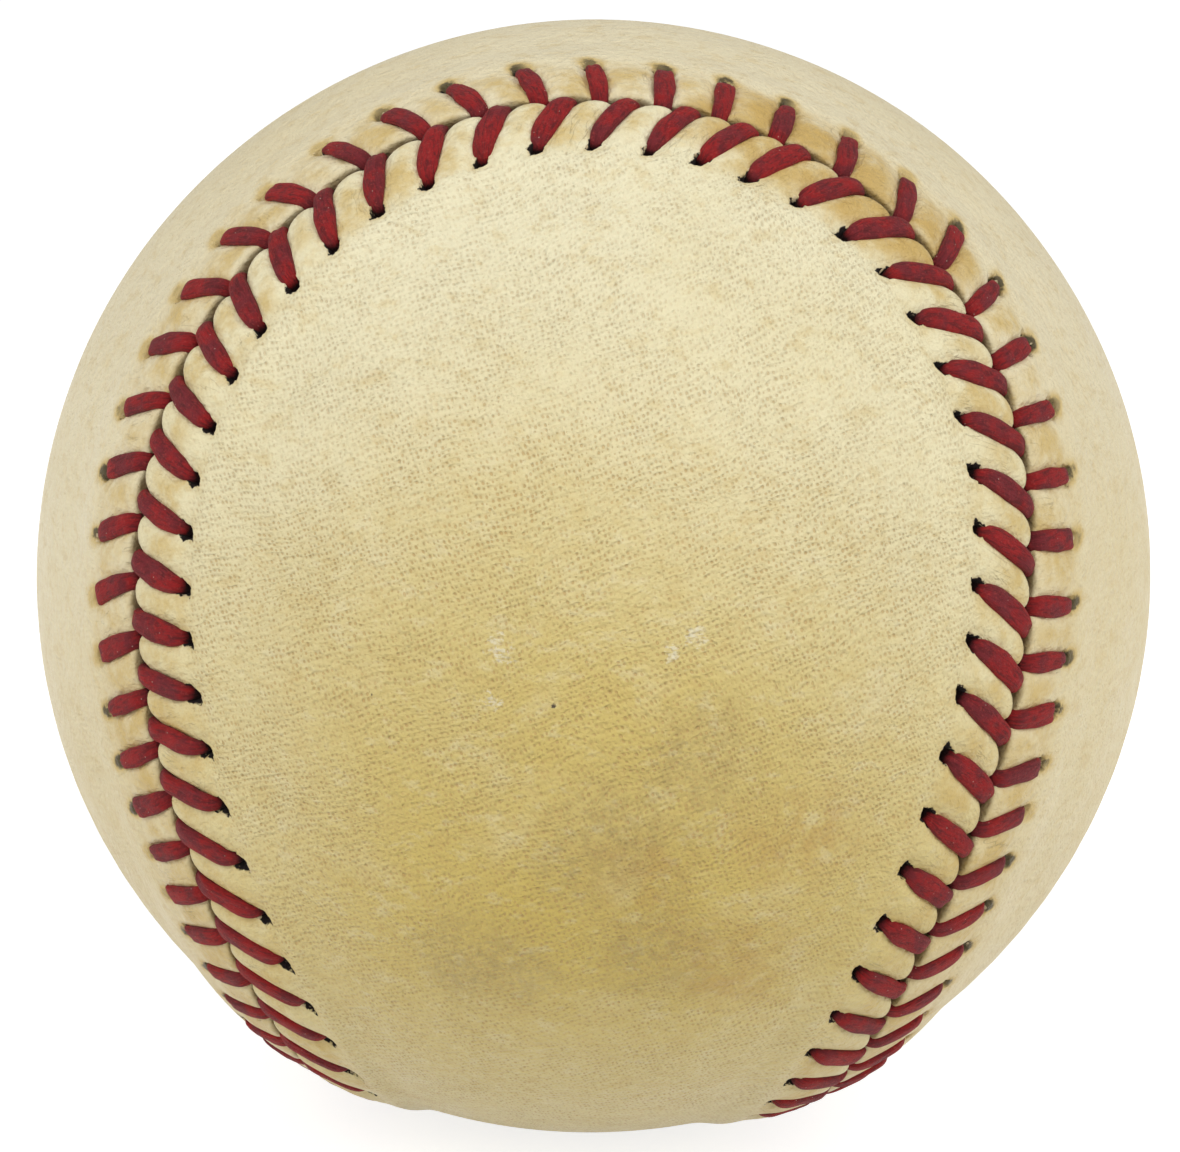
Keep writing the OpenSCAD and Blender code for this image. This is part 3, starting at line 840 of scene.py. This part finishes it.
def yarn_material(name, light, shade, strand):
    """Wound yarn: crossing bands of strands with fuzz."""
    board = NodeBoard(name, shade)
    place = board.place()
    bands = board.drift(place, board.noise(place, 30, 2, colour=True), 0.03)
    waves = []
    for way in ((0.4, 0.9, 0), (1.3, 0.2, 0.7), (0.1, 2.1, 1.4)):
        turned = board.mapping(bands, (1, 1, 1), way)
        wave = board.node("TexWave", Vector=turned, Scale=1 / strand / 6, Distortion=2, Detail=2)
        waves.append(wave.outputs["Fac"])
    parts = board.node("SeparateColor", Color=board.voronoi(place, 120, output="Color"))
    first = board.mix(board.ramp(parts.outputs[0], 0.45, 0.55), waves[0], waves[1])
    wave = board.mix(board.ramp(parts.outputs[1], 0.6, 0.7), first, waves[2])
    fuzz = board.noise(place, 3000, 5, 0.7)
    board.paint(wave, light)
    board.paint(board.ramp(fuzz, 0.35, 0.7, 0, 0.3), shade)
    height = board.plus(wave, board.times(fuzz, 0.5))
    return board.finish(0.92, board.bump(height, strand * 0.4, 0.9), Sheen_Weight=0.3)


def granule_material(name, base, grain, dark, size, roughness, depth):
    """Cork, rubber or cement: pressed granules with darker joints."""
    board = NodeBoard(name, base)
    place = board.place()
    cell = board.voronoi(place, 1 / size, 0.9, output="Color")
    joint = board.voronoi(place, 1 / size, 0.9, feature="DISTANCE_TO_EDGE")
    cloudy = board.noise(place, 0.3 / size, 5, 0.6)
    board.paint(board.node("SeparateColor", Color=cell).outputs[0], grain)
    board.paint(board.ramp(cloudy, 0.4, 0.75, 0, 0.5), dark)
    board.paint(board.ramp(joint, 0, 0.08, 0.7, 0), dark)
    height = board.plus(board.ramp(joint, 0, 0.15), board.times(cloudy, 0.8))
    return board.finish(roughness, board.bump(height, depth, 0.7))


def rubber_material(name, base, dark, roughness):
    """Moulded rubber: bloom, fine pitting and soft flow marks."""
    board = NodeBoard(name, base)
    place = board.place()
    bloom = board.noise(place, 130, 5, 0.6)
    pits = board.voronoi(place, 1600)
    board.paint(board.ramp(bloom, 0.35, 0.7), dark)
    height = board.plus(board.ramp(pits, 0.1, 0.35), board.times(bloom, 0.6))
    return board.finish(board.ramp(bloom, 0.3, 0.7, roughness, roughness + 0.12),
                        board.bump(height, 0.00006, 0.6))


def finish_nodes(material, *names):
    for name in names:
        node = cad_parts[name]
        if not node.material_slots:
            node.data.materials.append(material)
        node.material_slots[0].material = material


def colour_property(name, description, default):
    return FloatVectorProperty(name=name, description=description, subtype="COLOR", size=3, default=default)


class BaseballCoverLook(bpy.types.PropertyGroup):
    cream: colour_property("Cream", "Clean leather", (0.88, 0.81, 0.55))
    # Yellowed leather, also painted as shade low on the ball
    aged: colour_property("Aged", "Leather yellowed by age and handling", (0.68, 0.51, 0.10))
    pale: colour_property("Pale", "Rubbed, drier patches", (0.88, 0.80, 0.53))
    smudge: colour_property("Smudge", "Grey-brown handling marks", (0.33, 0.235, 0.09))
    side: colour_property("Side", "Warmer tone of the second panel", (0.78, 0.62, 0.40))
    pore: colour_property("Pore", "Bottom of the leather's pores", (0.55, 0.33, 0.11))
    # Brown for the groove and the cracks: soiling with painted shade
    stain_and_shade: colour_property("Stain", "Brown grime along the groove", (0.24, 0.17, 0.06))
    tan: colour_property("Tan", "Wax and dye by the stitches", (0.64, 0.45, 0.14))
    amber: colour_property("Amber", "Warm stains of handling", (0.52, 0.30, 0.07))
    # Painted shade inside the stitch holes
    hole_shade: colour_property("Pit", "Inside of the stitch holes", (0.010, 0.005, 0.004))


class BaseballThreadLook(bpy.types.PropertyGroup):
    crimson: colour_property("Crimson", "Waxed thread", (0.33, 0.010, 0.011))
    plum: colour_property("Plum", "Rubbed top of the thread", (0.19, 0.016, 0.022))
    # Painted highlight of loose fibres
    bright: colour_property("Bright", "Loose fibres in the light", (0.42, 0.055, 0.045))
    # Painted shade between the strands
    dark: colour_property("Dark", "Between the strands", (0.085, 0.006, 0.008))


class BaseballStudioLook(bpy.types.PropertyGroup):
    floor: colour_property("Floor", "Paper under the ball", (0.52, 0.52, 0.52))
    ambient: FloatProperty(
        name="Ambient", description="Strength of the light from all round", default=0.45, min=0.0, max=2.0)
    lamps: FloatProperty(
        name="Lamps", description="Power of the softboxes", default=1.0, min=0.0, max=10.0)


class BASEBALL_OT_cover(bpy.types.Operator):
    """Makes the two sewn leather panels with their raised edges, pillows and stitch holes"""

    bl_idname = "baseball.cover"
    bl_label = "Leather cover"

    def execute(self, context):
        material = leather_material(context.scene.baseball_cover)
        for side, name in ((FRONT, "cover_panel_front"), (SIDE, "cover_panel_side")):
            points, row, w, hole, raw = cover_grid(side)
            seam_map = np.stack([row * PITCH, side * w], -1)
            sew = SEWING[side]
            # Band along the panel's edge: soiling with painted shade in the groove
            groove = np.exp(-np.clip(w - sew["edge"], 0.0, None) / sew["grime_and_shade"])
            phase = row - np.round(row)
            reach = (phase * PITCH / 0.74) ** 2 + ((w - sew["hole_at"] - 0.45) / 0.72) ** 2
            tab = ((np.abs(phase) - 0.5) / 0.24) ** 2 + ((w - sew["tab_at"]) / sew["tab_w"]) ** 2
            values = {
                "groove_soil_and_shade": np.clip(groove * 0.8 + raw * 0.3, 0, 1),
                "hole": np.minimum(hole, 3.0) + sew["tight"],
                "halo": np.exp(-reach) * (1 - raw) * sew["halo"],
                "sewn": smooth((5.6 - w) / 2.2) * (1 - raw),
                "tab": np.exp(-tab) * (1 - raw),
                "raw": raw,
                "side": 0.0 * w + (side == SIDE),
            }
            bm, mesh = welded_grid(name + "_leather", points, seam_map, values)
            place_piece(bm, mesh, material, name)
        return {"FINISHED"}


class BASEBALL_OT_thread(bpy.types.Operator):
    """Sews the two waxed threads through every hole and down into the groove"""

    bl_idname = "baseball.thread"
    bl_label = "Red thread"

    def execute(self, context):
        material = thread_material(context.scene.baseball_thread)
        for first, name in ((True, "thread_first"), (False, "thread_second")):
            points, seam_map, values = thread_grid(first)
            bm, mesh = welded_grid(name + "_sewn", points, seam_map, values)
            ends = [edge for edge in bm.edges if edge.is_boundary]
            bmesh.ops.holes_fill(bm, edges=ends, sides=THREAD_SIDES)
            place_piece(bm, mesh, material, name)
        return {"FINISHED"}


class BASEBALL_OT_core(bpy.types.Operator):
    """Finishes the cork ball, the rubber cups and their plugs"""

    bl_idname = "baseball.core"
    bl_label = "Cork and rubber core"

    def execute(self, context):
        cork = granule_material("pressed_cork", (0.42, 0.24, 0.11), (0.24, 0.12, 0.05), (0.06, 0.03, 0.015),
                                0.0016, 0.85, 0.00025)
        black = rubber_material("black_rubber", (0.022, 0.021, 0.021), (0.045, 0.043, 0.041), 0.50)
        red = rubber_material("red_rubber", (0.42, 0.055, 0.030), (0.30, 0.045, 0.028), 0.48)
        finish_nodes(cork, "cork_core")
        finish_nodes(black, "black_shell_lower", "black_shell_upper")
        finish_nodes(red, "gasket_left", "gasket_right", "red_shell_front", "red_shell_back")
        return {"FINISHED"}


# Yarn of each winding: the node, the material, its light and dark tone and how thick the strand is in metres
YARNS = [
    ("grey_wool_winding", "grey_wool", (0.34, 0.33, 0.31), (0.13, 0.125, 0.12), 0.0016),
    ("white_wool_winding", "white_wool", (0.80, 0.77, 0.68), (0.48, 0.45, 0.38), 0.0012),
    ("grey_wool_outer_winding", "grey_wool_outer", (0.40, 0.39, 0.37), (0.17, 0.165, 0.16), 0.0012),
    ("cotton_finish_winding", "cotton", (0.86, 0.84, 0.78), (0.58, 0.55, 0.48), 0.0005),
]


class BASEBALL_OT_windings(bpy.types.Operator):
    """Finishes the wool and cotton windings and the cement coat on them"""

    bl_idname = "baseball.windings"
    bl_label = "Windings"

    def execute(self, context):
        for node, name, light, shade, strand in YARNS:
            finish_nodes(yarn_material(name, light, shade, strand), node)
        cement = granule_material("rubber_cement", (0.62, 0.42, 0.16), (0.55, 0.36, 0.14), (0.34, 0.20, 0.07),
                                  0.0045, 0.35, 0.0001)
        finish_nodes(cement, "cement_coat")
        return {"FINISHED"}


class BASEBALL_OT_studio(bpy.types.Operator):
    """Makes the pale floor, the soft lamps, the light all round and the camera"""

    bl_idname = "baseball.studio"
    bl_label = "Studio"

    def execute(self, context):
        look = context.scene.baseball_studio
        make_camera(context.scene)
        make_floor(look)
        make_lamps(context.scene, look)
        return {"FINISHED"}


# Camera of the photograph: where it stands in degrees, the ball's radius over its distance, and its picture
CAMERA_AZIMUTH = 1.16
CAMERA_ELEVATION = 14.45
CAMERA_ROLL = 2.57
CAMERA_REACH = 0.162
PHOTO_W, PHOTO_H = 1180, 1152
BALL_AT = (592.6, 575.1)
FOCAL_PX = 3392.6
SENSOR = 36.0


def camera_basis():
    """Right, up and back directions of the camera."""
    az, el, roll = radians(CAMERA_AZIMUTH), radians(CAMERA_ELEVATION), radians(CAMERA_ROLL)
    back = Vector((sin(az) * cos(el), -cos(az) * cos(el), sin(el)))
    level = Vector((cos(az), sin(az), 0.0))
    rise = back.cross(level)
    right = level * cos(roll) + rise * sin(roll)
    up = rise * cos(roll) - level * sin(roll)
    return right, up, back


def make_camera(scene):
    right, up, back = camera_basis()
    data = bpy.data.cameras.new("photo_camera")
    data.lens = SENSOR * FOCAL_PX / PHOTO_W
    data.sensor_width = SENSOR
    data.shift_x = (PHOTO_W / 2 - BALL_AT[0]) / PHOTO_W
    data.shift_y = (BALL_AT[1] - PHOTO_H / 2) / PHOTO_W
    data.clip_start = 0.01
    data.clip_end = 20.0
    camera = bpy.data.objects.new("photo_camera", data)
    scene.collection.objects.link(camera)
    turn = Matrix((right, up, back)).transposed().to_4x4()
    camera.matrix_world = Matrix.Translation(back * FIELD_R * MM / CAMERA_REACH) @ turn
    scene.camera = camera


def make_floor(look):
    bm = bmesh.new()
    bmesh.ops.create_circle(bm, cap_ends=True, segments=96, radius=4.0)
    bmesh.ops.translate(bm, verts=bm.verts, vec=(0.0, 0.0, cad_box[0].z))
    mesh = bpy.data.meshes.new("studio_floor")
    bm.to_mesh(mesh)
    bm.free()
    floor = bpy.data.objects.new("studio_floor", mesh)
    bpy.context.scene.collection.objects.link(floor)
    board = NodeBoard("white_paper", look.floor)
    board.nodes.remove(board.shader)
    board.paint(board.ramp(board.noise(board.place(), 900), 0.3, 0.7, 0, 0.04), (0.7, 0.7, 0.7))
    paper = board.node("BsdfDiffuse", Color=board.colour)
    bounce = board.node("BsdfDiffuse", Color=(0.75, 0.74, 0.73, 1))
    glow = board.node("Emission", Color=(1, 1, 1, 1), Strength=0.78)
    half = board.node("AddShader")
    board.feed(half, 0, glow.outputs[0])
    board.feed(half, 1, paper.outputs[0])
    rays = board.node("LightPath")
    seen = board.larger(rays.outputs["Is Camera Ray"], rays.outputs["Is Glossy Ray"])
    seen = board.larger(seen, rays.outputs["Is Transmission Ray"])
    pick = board.node("MixShader", Fac=seen)
    board.feed(pick, 1, bounce.outputs[0])
    board.feed(pick, 2, half.outputs[0])
    under = board.node("MixShader", Fac=board.node("NewGeometry").outputs["Backfacing"])
    clear = board.node("BsdfTransparent")
    board.feed(under, 1, pick.outputs[0])
    board.feed(under, 2, clear.outputs[0])
    board.feed(board.nodes["Material Output"], "Surface", under.outputs[0])
    mesh.materials.append(board.material)


# Softboxes: direction in the camera's right, up and back, distance, side and power in watts
SOFTBOXES = [
    ("left_softbox", (-0.70, 0.42, 0.58), 0.75, 0.55, 1.9),
    ("right_softbox", (0.76, 0.40, 0.50), 0.75, 0.55, 2.1),
    ("top_softbox", (0.0, 0.62, 0.78), 0.85, 0.70, 1.25),
]


def make_lamps(scene, look):
    right, up, back = camera_basis()
    for name, way, distance, size, watts in SOFTBOXES:
        data = bpy.data.lights.new(name, "AREA")
        data.shape = "SQUARE"
        data.size = size
        data.energy = watts * look.lamps
        lamp = bpy.data.objects.new(name, data)
        scene.collection.objects.link(lamp)
        toward = (right * way[0] + up * way[1] + back * way[2]).normalized()
        turn = toward.to_track_quat("Z", "Y").to_matrix().to_4x4()
        lamp.matrix_world = Matrix.Translation(toward * distance) @ turn
    world = bpy.data.worlds.new("white_room")
    scene.world = world
    world.use_nodes = True
    tree = world.node_tree
    background = tree.nodes["Background"]
    background.inputs["Color"].default_value = (1, 1, 1, 1)
    rays = tree.nodes.new("ShaderNodeLightPath")
    level = tree.nodes.new("ShaderNodeMapRange")
    level.inputs["To Min"].default_value = look.ambient
    level.inputs["To Max"].default_value = 1.0
    tree.links.new(rays.outputs["Is Camera Ray"], level.inputs["Value"])
    tree.links.new(level.outputs[0], background.inputs["Strength"])
    scene.view_settings.view_transform = "Standard"


class BASEBALL_PT_panel(bpy.types.Panel):
    bl_label = "Baseball"
    bl_idname = "BASEBALL_PT_panel"
    bl_space_type = "VIEW_3D"
    bl_region_type = "UI"
    bl_category = "Baseball"

    def draw(self, context):
        scene = context.scene
        looks = {
            "baseball.cover": scene.baseball_cover,
            "baseball.thread": scene.baseball_thread,
            "baseball.core": None,
            "baseball.windings": None,
            "baseball.studio": scene.baseball_studio,
        }
        for operator, look in looks.items():
            box = self.layout.box()
            for name in type(look).__annotations__ if look else ():
                box.prop(look, name)
            box.operator(operator)


CLASSES = (
    BaseballCoverLook, BaseballThreadLook, BaseballStudioLook,
    BASEBALL_OT_cover, BASEBALL_OT_thread, BASEBALL_OT_core, BASEBALL_OT_windings, BASEBALL_OT_studio,
    BASEBALL_PT_panel,
)


def register():
    for cls in CLASSES:
        bpy.utils.register_class(cls)
    bpy.types.Scene.baseball_cover = PointerProperty(type=BaseballCoverLook)
    bpy.types.Scene.baseball_thread = PointerProperty(type=BaseballThreadLook)
    bpy.types.Scene.baseball_studio = PointerProperty(type=BaseballStudioLook)


def unregister():
    del bpy.types.Scene.baseball_studio
    del bpy.types.Scene.baseball_thread
    del bpy.types.Scene.baseball_cover
    for cls in reversed(CLASSES):
        bpy.utils.unregister_class(cls)


def main():
    register()
    bpy.ops.baseball.cover()
    bpy.ops.baseball.thread()
    bpy.ops.baseball.core()
    bpy.ops.baseball.windings()
    bpy.ops.baseball.studio()


if __name__ == "__main__":
    main()
